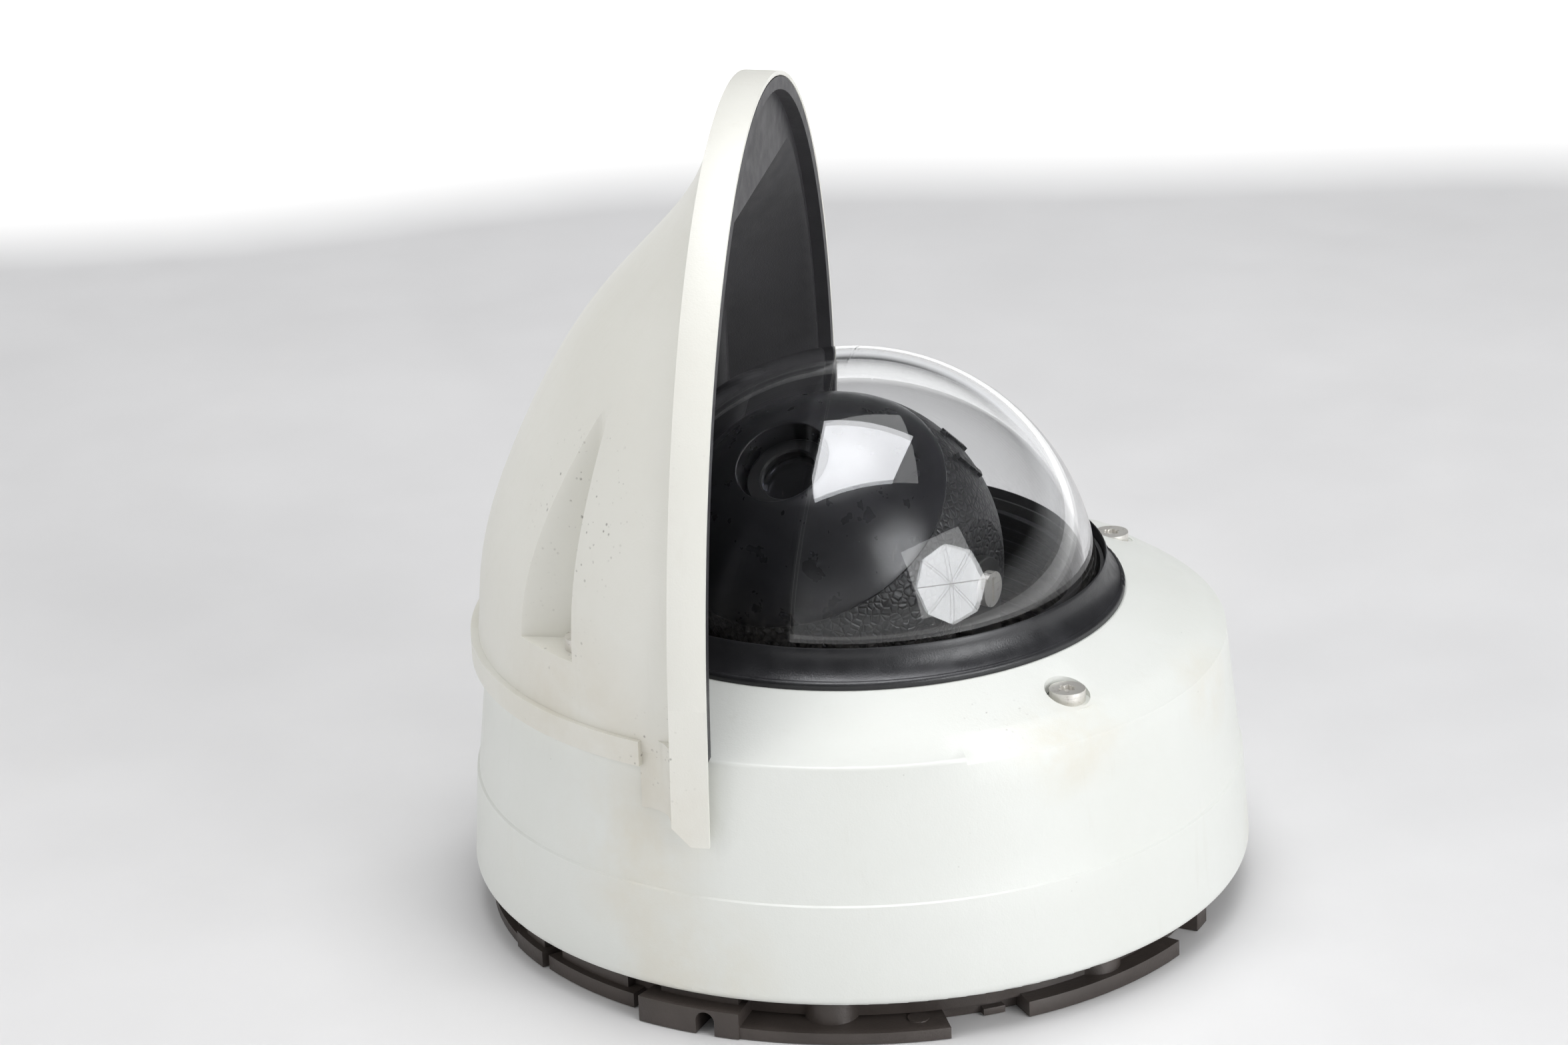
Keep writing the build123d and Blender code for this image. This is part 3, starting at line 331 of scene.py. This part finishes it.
def moulded(slot, colour, rough, grain_scale, grain_height, dust):
    """Moulded plastic or rubber: fine spark texture, faint wear and a little settled dust."""
    m = Nodes(f"finish_{slot}")
    worn = tuple(c * 1.5 + 0.002 for c in colour)
    base = m.mix(m.ramp(m.noise(60.0, 4.0), 0.3, 0.75), colour, worn)
    fleck = m.times(m.dots(900.0, 0.09), m.ramp(m.noise(120.0, 3.0, 0.7), 0.55, 0.7))
    m.set(
        Base_Color=m.mix(m.times(fleck, dust), base, DUST_COLOUR),
        Roughness=m.ramp(m.noise(240.0, 3.0), 0.3, 0.7, rough - 0.05, rough + 0.08),
        Normal=m.bump(m.noise(grain_scale, 2.0, 0.6), grain_height, 0.6),
    )
    return m.mat


def leather(slot):
    """Black plastic moulded with a coarse leather grain, with painted shade in the grain's creases."""
    m = Nodes(f"finish_{slot}")
    fold = m.cells(640.0, "DISTANCE_TO_EDGE")
    # Painted shade: the colour is darkest along the cell edges, where the bump sinks into creases.
    base = m.mix(m.ramp(fold, 0.0, 0.14), (0.008, 0.008, 0.009), (0.022, 0.022, 0.024))
    fleck = m.times(m.dots(700.0, 0.07), m.ramp(m.noise(90.0, 3.0, 0.7), 0.56, 0.7))
    m.set(
        Base_Color=m.mix(m.times(fleck, 0.15), base, (0.30, 0.29, 0.27)),
        Roughness=m.ramp(m.cells(640.0), 0.0, 0.8, 0.36, 0.52),
        Normal=m.bump(m.ramp(fold, 0.0, 0.22), 0.00018, 0.8),
    )
    return m.mat


def steel(slot, colour, rough, metallic):
    """Metal with fine turning lines and grime."""
    m = Nodes(f"finish_{slot}")
    lines = m.stretched(BRUSHED, 3.0, 0.6)
    grime = m.ramp(m.noise(700.0, 4.0, 0.6), 0.58, 0.75)
    m.set(
        Base_Color=m.mix(m.times(grime, 0.5), colour, GRIME_COLOUR),
        Metallic=metallic,
        Roughness=m.ramp(lines, 0.3, 0.7, rough, rough + 0.16),
        Normal=m.bump(lines, 0.00003, 0.4),
    )
    return m.mat


def polycarbonate(slot):
    """Clear moulded dome with hairline scratches and dust lying in its outer skin."""
    m = Nodes(f"finish_{slot}")
    drift = m.times(m.ramp(m.noise(70.0, 4.0, 0.7), 0.52, 0.72), m.ramp(m.noise(16.0, 2.0), 0.42, 0.6))
    dust = m.times(m.dots(620.0, 0.075), drift)
    hair = m.stretched((35.0, 1500.0, 160.0), 1.0, 0.4, (0.3, 0.5, 0.9))
    hair = m.ramp(hair, 0.72, 0.78, 0.0, 0.35)
    # A veil of dust that thins with height above the bezel.
    veil = m.ramp(m.height(), 0.072, 0.090, 0.07, 0.0)
    veil = m.times(veil, m.ramp(m.noise(900.0, 3.0, 0.7), 0.45, 0.62))
    cover = m.most(m.most(dust, m.times(hair, drift)), veil)
    m.set(
        Base_Color=(0.985, 0.988, 0.992),
        IOR=1.5,
        Transmission_Weight=1.0,
        Roughness=m.ramp(cover, 0.0, 1.0, 0.0, 0.35),
    )
    dull = m.new("ShaderNodeBsdfDiffuse")
    dull.inputs["Color"].default_value = (0.55, 0.52, 0.48, 1.0)
    blend = m.new("ShaderNodeMixShader")
    m.link(cover, blend.inputs[0])
    m.link(m.shader.outputs[0], blend.inputs[1])
    m.link(dull.outputs[0], blend.inputs[2])
    m.link(blend.outputs[0], m.tree.nodes["Material Output"].inputs["Surface"])
    return m.mat


def coated_glass(slot):
    m = Nodes(f"finish_{slot}")
    m.set(
        Base_Color=GLASS_TINT,
        IOR=1.6,
        Transmission_Weight=1.0,
        Coat_Weight=1.0,
        Roughness=m.ramp(m.noise(400.0), 0.3, 0.7, 0.0, 0.03),
    )
    return m.mat


def floor_paper(name):
    """Pale grey sheet with faint smears and a few dots."""
    m = Nodes(name)
    tone = m.mix(m.ramp(m.noise(7.0, 5.0, 0.6), 0.35, 0.7), (0.80, 0.795, 0.80), (0.84, 0.835, 0.84))
    smear = m.stretched((3.0, 22.0, 1.0), 5.0, 0.65, (0.0, 0.0, 1.1))
    tone = m.mix(m.ramp(smear, 0.58, 0.75, 0.0, 0.25), tone, (0.84, 0.825, 0.815))
    dot = m.times(m.dots(60.0, 0.03), m.ramp(m.noise(20.0), 0.6, 0.7))
    m.set(
        Base_Color=m.mix(m.times(dot, 0.5), tone, (0.35, 0.34, 0.33)),
        Roughness=m.ramp(m.noise(30.0), 0.3, 0.7, 0.5, 0.62),
        Normal=m.bump(m.noise(260.0, 3.0), 0.0001, 0.3),
    )
    return m.mat


def make_finishes():
    finishes = {slot: moulded(slot, *row) for slot, row in MOULDED.items()}
    finishes.update({slot: steel(slot, *row) for slot, row in METALS.items()})
    finishes.update({slot: painted(slot, *row) for slot, row in WHITES.items()})
    finishes["ball_black"] = leather("ball_black")
    finishes["clear_dome"] = polycarbonate("clear_dome")
    finishes["lens_glass"] = coated_glass("lens_glass")
    return finishes


def dress():
    """Give every material slot the finish that carries its name."""
    finishes = make_finishes()
    for obj in NODES.values():
        for held in obj.material_slots:
            slot = held.material.name.split(".")[0] if held.material else ""
            if slot in finishes:
                held.material = finishes[slot]


def soften(obj, width):
    weld = obj.modifiers.new("weld", "WELD")
    weld.merge_threshold = WELD_REACH
    bevel = obj.modifiers.new("edge", "BEVEL")
    bevel.width = width * MM
    bevel.segments = BEVEL_STEPS
    bevel.limit_method = "ANGLE"
    bevel.angle_limit = BEVEL_ANGLE
    bevel.use_clamp_overlap = True
    bevel.harden_normals = False


# ---- floor, backdrop and lights ----------------------------------------------
def add_mesh(name, verts, faces, material):
    mesh = bpy.data.meshes.new(name)
    mesh.from_pydata(verts, [], faces)
    mesh.update()
    mesh.materials.append(material)
    obj = bpy.data.objects.new(name, mesh)
    scene.collection.objects.link(obj)
    return obj


def floor_ring(share):
    """The sheet's outline, drawn in to the given share of its reach."""
    turn = Matrix.Rotation(VIEW_TURN, 3, "Z")
    ring = []
    for i in range(SHEET_POINTS):
        a = 2.0 * math.pi * i / SHEET_POINTS
        c, s = math.cos(a), math.sin(a)
        rounded = (abs(c) ** SHEET_SQUARENESS + abs(s) ** SHEET_SQUARENESS) ** (1.0 / SHEET_SQUARENESS)
        ripple = sum(size * math.sin(count * a + phase) for size, count, phase in SHEET_RIPPLES)
        reach = share * SHEET_REACH / rounded * (1.0 + ripple)
        ring.append(turn @ Vector((reach * c, reach * s, SHEET_Z)))
    return ring


def make_floor():
    """A pale grey sheet whose far edge fades into a white backdrop."""
    n = SHEET_POINTS
    faces = [tuple(range(n))]
    faces += [(i, n + i, n + (i + 1) % n, (i + 1) % n) for i in range(n)]
    paper = floor_paper("floor_paper")
    sheet = add_mesh("floor", floor_ring(FADE_STARTS) + floor_ring(1.0), faces, paper)
    fade = sheet.data.attributes.new("fade", "FLOAT", "POINT")
    fade.data.foreach_set("value", [0.0] * n + [1.0] * n)
    tree = paper.node_tree
    held = tree.nodes.new("ShaderNodeAttribute")
    held.attribute_name = "fade"
    white = tree.nodes.new("ShaderNodeEmission")
    white.inputs["Strength"].default_value = WHITE_WALL
    blend = tree.nodes.new("ShaderNodeMixShader")
    tree.links.new(held.outputs["Fac"], blend.inputs[0])
    tree.links.new(tree.nodes["Principled BSDF"].outputs[0], blend.inputs[1])
    tree.links.new(white.outputs[0], blend.inputs[2])
    tree.links.new(blend.outputs[0], tree.nodes["Material Output"].inputs["Surface"])
    far = Nodes("backdrop_white")
    far.set(
        Base_Color=(0.9, 0.9, 0.9),
        Roughness=0.9,
        Emission_Color=(1.0, 1.0, 1.0),
        Emission_Strength=BACKDROP_GLOW,
    )
    w = BACKDROP_REACH
    corners = [(x, y, BACKDROP_Z) for x, y in ((-w, -w), (w, -w), (w, w), (-w, w))]
    back = add_mesh("backdrop", corners, [(0, 1, 2, 3)], far.mat)


def glow(name, strength, colour=NEUTRAL):
    mat = bpy.data.materials.new(name)
    mat.use_nodes = True
    tree = mat.node_tree
    tree.nodes.clear()
    out = tree.nodes.new("ShaderNodeOutputMaterial")
    lamp = tree.nodes.new("ShaderNodeEmission")
    lamp.inputs["Color"].default_value = (*colour, 1.0)
    lamp.inputs["Strength"].default_value = strength
    tree.links.new(lamp.outputs[0], out.inputs["Surface"])
    return mat


def add_reflector(name, verts, faces, material):
    """A glowing sheet that is seen only in reflections."""
    obj = add_mesh(name, verts, faces, material)
    obj.visible_camera = False
    obj.visible_shadow = False
    obj.visible_diffuse = False


def make_umbrella():
    """Eight-sided shoot-through umbrella and its ribs."""
    toward = Vector(UMBRELLA_WAY).normalized()
    middle = Vector(UMBRELLA_FROM) + toward * UMBRELLA_FAR
    side = toward.cross(Vector((0, 0, 1))).normalized()
    rise = side.cross(toward).normalized()
    n = UMBRELLA_SIDES
    crown = middle + toward * UMBRELLA_DEPTH
    rim = []
    for i in range(n):
        a = math.radians(360.0 / n * i + UMBRELLA_FIRST)
        rim.append(middle + side * UMBRELLA_RADIUS * math.cos(a) + rise * UMBRELLA_RADIUS * math.sin(a))
    cloth, ribs = glow("umbrella_glow", LAMP_GLOW, (0.97, 0.985, 1.0)), glow("umbrella_ribs", RIB_GLOW)
    add_reflector("umbrella", [crown] + rim, [(0, i + 1, (i + 1) % n + 1) for i in range(n)], cloth)
    verts, faces = [], []
    hub = crown - toward * RIB_HUB_DROP
    for corner in rim:
        tip = corner - toward * RIB_TIP_DROP
        across = (tip - hub).cross(toward).normalized() * RIB_HALF
        start = len(verts)
        verts += [hub - across, hub + across, tip + across, tip - across]
        faces.append(tuple(range(start, start + 4)))
    add_reflector("umbrella_ribs", verts, faces, ribs)


def make_softbox():
    """Overhead softbox, placed where its reflection falls on the dome."""
    verts = []
    for start, way in SOFTBOX_CORNERS:
        start, way = Vector(start), Vector(way)
        verts.append(start + way * ((SOFTBOX_Z - start.z) / way.z))
    add_reflector("softbox", verts, [(0, 1, 2, 3)], glow("softbox_glow", LAMP_GLOW, (0.96, 0.97, 1.0)))


def add_area_light(name, place, side, power, colour):
    data = bpy.data.lights.new(name, "AREA")
    data.shape = "RECTANGLE"
    data.size, data.size_y = side, side
    data.energy = power
    data.color = colour
    obj = bpy.data.objects.new(name, data)
    scene.collection.objects.link(obj)
    obj.location = place
    obj.rotation_mode = "QUATERNION"
    obj.rotation_quaternion = (Vector(AIM) - Vector(place)).to_track_quat("-Z", "Y")
    obj.visible_glossy = False


def make_world():
    world = bpy.data.worlds.new("studio")
    world.use_nodes = True
    nodes, links = world.node_tree.nodes, world.node_tree.links
    back = nodes["Background"]
    back.inputs["Color"].default_value = ROOM_COLOUR
    path = nodes.new("ShaderNodeLightPath")
    # Light that comes through the dome is white from the walls and dark from the ceiling.
    split = nodes.new("ShaderNodeSeparateXYZ")
    links.new(nodes.new("ShaderNodeTexCoord").outputs["Generated"], split.inputs[0])
    wall = nodes.new("ShaderNodeMapRange")
    wall.inputs["From Min"].default_value = WALL_TOP
    wall.inputs["From Max"].default_value = CEILING_START
    wall.inputs["To Min"].default_value = WHITE_WALL
    wall.inputs["To Max"].default_value = DARK_ROOM
    links.new(split.outputs["Z"], wall.inputs["Value"])
    level = AMBIENT
    ray_steps = (
        ("Is Reflection Ray", DARK_ROOM),
        ("Is Diffuse Ray", AMBIENT),
        ("Is Transmission Ray", wall.outputs["Result"]),
        ("Is Camera Ray", WHITE_WALL),
    )
    for ray, strength in ray_steps:
        pick = nodes.new("ShaderNodeMix")
        links.new(path.outputs[ray], pick.inputs[0])
        for index, item in ((2, level), (3, strength)):
            if isinstance(item, float):
                pick.inputs[index].default_value = item
            else:
                links.new(item, pick.inputs[index])
        level = pick.outputs[0]
    links.new(level, back.inputs["Strength"])
    scene.world = world


dress()
for node_name, width in BEVEL_MM.items():
    soften(NODES[node_name], width)
place_camera()
make_floor()
make_world()
for light_name, light in AREA_LIGHTS.items():
    add_area_light(light_name, *light)
make_umbrella()
make_softbox()
scene.view_settings.view_transform = "Standard"
scene.view_settings.look = "None"
